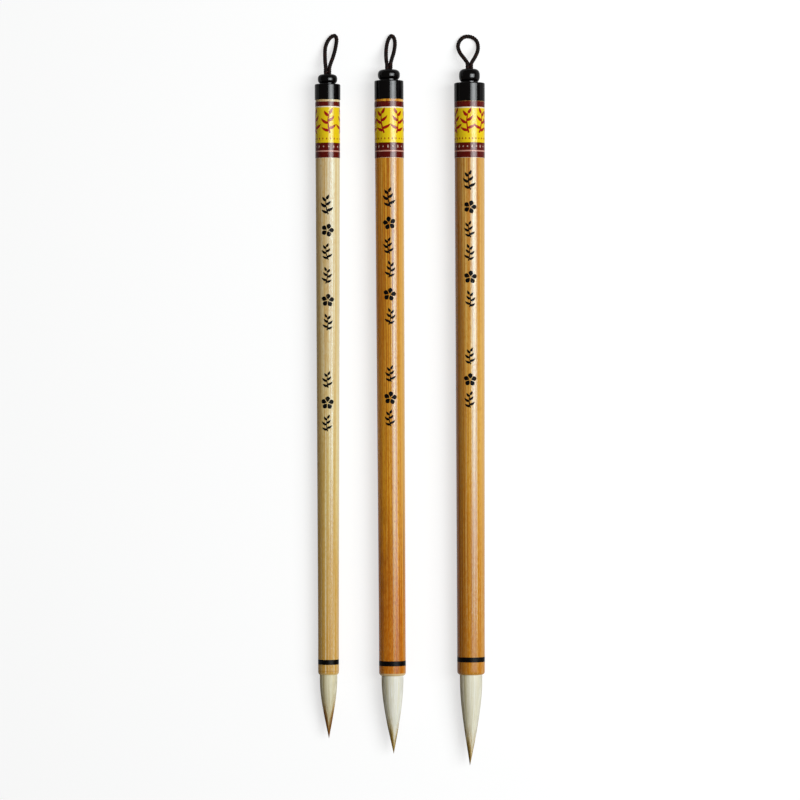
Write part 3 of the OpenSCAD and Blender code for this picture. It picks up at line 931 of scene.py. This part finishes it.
class Tuft:
    """All hairs of one brush, with the share of brown and a tone for each point."""

    def __init__(self, b):
        self.b = b
        self.points = []
        self.faces = []
        self.brown = []
        self.tone = []

    def at(self, out, reach, angle):
        """The point at some distance out of the mouth and off the tuft's leaning axis."""
        lean = LEAN[self.b.name] * (max(0, out) / self.b.hair_len) ** 2
        return Vector((reach * math.cos(angle) + lean, -out, reach * math.sin(angle)))

    def hair(self, angle, place, end, thick, brown_from, brown_to, tone, curl, stray=0.0):
        """One hair, from the rosin to the share of the length at which it ends."""
        b = self.b
        steps = hair_parts - 3
        outs = [-root_len, -last_inside]
        outs += [end * b.hair_len * (i / steps) ** 0.9 for i in range(steps + 1)]
        first = len(self.points)
        for i, out in enumerate(outs):
            share = max(0, out) / b.hair_len
            wave = curl * math.sin(7 * share + angle * 3)
            reach = tuft_r(b, min(out, b.hair_len * tip_start)) * min(1, place + 0.02 * wave)
            reach += stray * share**2
            turn = angle + 0.2 * wave * share
            middle = self.at(out, reach, turn)
            half = thick / 2 * (1 - 0.8 * max(0, out / (end * b.hair_len)) ** 2.2)
            outward = Vector((math.cos(turn), 0, math.sin(turn)))
            sideways = Vector((-outward.z, 0, outward.x))
            for k in (-1, 0, 1):
                self.points.append(middle + half * (k * sideways + (1 - abs(k)) * hair_roof * outward))
                self.brown.append(share_between(share, brown_from, brown_to))
                self.tone.append(tone)
        for i in range(len(outs) - 1):
            for a in (first + 3 * i, first + 3 * i + 1):
                self.faces.append((a, a + 3, a + 4, a + 1))

    def body(self):
        """The closed mass in which the outer hairs lie half sunk. It comes before any hair."""
        b = self.b
        for i in range(body_steps + 1):
            share = body_end * i / body_steps
            out = share * b.hair_len
            for k in range(body_sides):
                angle = math.tau * k / body_sides
                lock = locks(angle, share)
                r = tuft_r(b, out) * body_share * (1 + lock_relief * lock)
                self.points.append(self.at(out, r, angle))
                ends = cover_end(b, angle) + lock_reach * lock
                self.brown.append(share_between(share, ends - 0.12, ends + 0.08))
                # Tone with painted shade to the left
                self.tone.append(tone_and_shade_at(angle, share))
        self.faces += tube_faces(body_steps, body_sides)


# White of the cover hair from its darkest to its palest tone, the darker ones carrying painted shade on
# the left, and the browns where it ends
CREAM = [
    (0.0, linear(188, 170, 122)),
    (0.35, linear(218, 205, 162)),
    (0.7, linear(236, 228, 196)),
    (1.0, linear(245, 240, 217)),
]
WHITE = [
    (0.0, linear(210, 200, 162)),
    (0.35, linear(236, 229, 204)),
    (0.7, linear(249, 246, 234)),
    (1.0, linear(254, 252, 245)),
]
IVORY = [
    (0.0, linear(204, 192, 150)),
    (0.35, linear(232, 223, 193)),
    (0.7, linear(247, 242, 222)),
    (1.0, linear(253, 249, 236)),
]
HAIR_WHITES = {"small": CREAM, "medium": WHITE, "large": IVORY}
HAIR_TIPS = {
    "small": (linear(196, 162, 98), linear(128, 80, 22)),
    "medium": (linear(200, 172, 98), linear(142, 110, 44)),
    "large": (linear(198, 164, 90), linear(98, 68, 18)),
}


def hair_material(b):
    s = Surface(b.name + "_hair", Roughness=0.5, IOR=1.5, Specular_IOR_Level=0.15)
    white = s.ramp(s.attribute("tone"), HAIR_WHITES[b.name])
    brown = s.attribute("brown")
    colour = s.mix(s.rise(brown, 0.0, 0.5), white, HAIR_TIPS[b.name][0])
    colour = s.mix(s.rise(brown, 0.5, 1.0), colour, HAIR_TIPS[b.name][1])
    return s.finish(colour)


def add_tuft(b):
    rng = random.Random(100 + len(b.name))
    tuft = Tuft(b)
    tuft.body()
    for _ in range(cover_count):
        angle = rng.uniform(0, math.tau)
        place = rng.uniform(0.94, 0.99)
        end = min(0.97, cover_end(b, angle) + rng.uniform(-0.16, 0.1))
        # Tone with painted shade to the left, spread at random
        tone = tone_and_shade_at(angle) + rng.uniform(-0.3, 0.3)
        thick = rng.uniform(0.1, 0.18)
        tuft.hair(angle, place, end, thick, end - 0.12, end + 0.06, tone, rng.uniform(-1, 1))
    for _ in range(core_count):
        angle = rng.uniform(0, math.tau)
        start = cover_end(b, angle) - rng.uniform(0.05, 0.25)
        place = rng.uniform(0.9, 0.985)
        tuft.hair(
            angle, place, rng.uniform(0.93, 1.0), rng.uniform(0.08, 0.14),
            start, start + rng.uniform(0.15, 0.35), rng.random(), rng.uniform(-0.8, 0.8),
        )
    for _ in range(stray_count):
        tuft.hair(
            rng.uniform(0, math.tau), 0.985, rng.uniform(0.4, 0.8), 0.07,
            0.95, 1.2, rng.uniform(0.4, 1), rng.uniform(-1, 1), rng.uniform(0.1, 0.4),
        )
    to_row = frame_of(b)
    piece = add_mesh(b.name + "_tuft", [to_row @ p for p in tuft.points], tuft.faces, hair_material(b))
    set_values(piece, "brown", tuft.brown)
    set_values(piece, "tone", tuft.tone)
    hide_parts(b.name + "_cover_hair", b.name + "_core_hair", b.name + "_hair_root")
    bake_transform(piece)


for brush in BRUSHES:
    add_tuft(brush)


# Studio: a large softbox up and to the right, brighter in its middle, a weak fill and a pale floor
light_angle = 32.5
light_along = 0.105
light_colour = (0.94, 0.985, 1.0)
fill_colour = (1.0, 0.96, 0.9, 1)
fill_strength = 0.1
floor_colour = (0.43, 0.42, 0.416, 1)
floor_lift = 0.65
floor_sides = 96

# Radius and height of the floor's outline, in metres
FLOOR = [(0, 0), (4, 0), (10, 0), (18, 0), (21, 0.2), (23, 0.8), (24, 1.6), (24.4, 2.6)]


def add_softbox(name, width, height, away, radiance):
    """A lamp of some width and height in metres, at a distance from the middle of the brushes."""
    angle = math.radians(light_angle)
    light = bpy.data.lights.new(name, "AREA")
    light.shape = "RECTANGLE"
    light.size = width
    light.size_y = height
    light.energy = radiance * math.pi * width * height
    light.color = light_colour
    holder = bpy.data.objects.new(name, light)
    holder.location = (away * math.sin(angle), light_along, away * math.cos(angle))
    holder.rotation_euler = (0, angle, 0)
    holder.visible_camera = False
    scene.collection.objects.link(holder)


def add_world():
    world = bpy.data.worlds.new("studio")
    world.use_nodes = True
    fill = world.node_tree.nodes["Background"]
    fill.inputs["Color"].default_value = fill_colour
    fill.inputs["Strength"].default_value = fill_strength
    scene.world = world


def add_floor():
    """A wide floor that curves up at its rim. Seen directly or in gloss it is lifted to white."""
    points = [(0, 0, 0)]
    faces = []
    for i, (r, z) in enumerate(FLOOR[1:]):
        for k in range(floor_sides):
            angle = math.tau * k / floor_sides
            points.append((r * math.cos(angle), r * math.sin(angle), z))
            here = 1 + i * floor_sides + k
            beside = 1 + i * floor_sides + (k + 1) % floor_sides
            if i:
                faces.append((here - floor_sides, here, beside, beside - floor_sides))
            else:
                faces.append((0, here, beside))
    s = Surface("floor", Roughness=0.9, Base_Color=floor_colour, Specular_IOR_Level=0.0)
    path = s.node("LightPath")
    seen = s.calc("MAXIMUM", path.outputs["Is Camera Ray"], path.outputs["Is Glossy Ray"])
    seen = s.calc("MAXIMUM", seen, path.outputs["Is Transmission Ray"])
    s.put(s.shader.inputs["Emission Color"], (1, 1, 1, 1))
    s.put(s.shader.inputs["Emission Strength"], s.calc("MULTIPLY", seen, floor_lift))
    floor = add_mesh("floor", points, faces, s.material)


add_softbox("softbox", width=0.96, height=0.46, away=1.1, radiance=7.0)
add_softbox("softbox_middle", width=0.42, height=0.3, away=1.07, radiance=6.4)
add_world()
add_floor()
scene.view_settings.view_transform = "Standard"
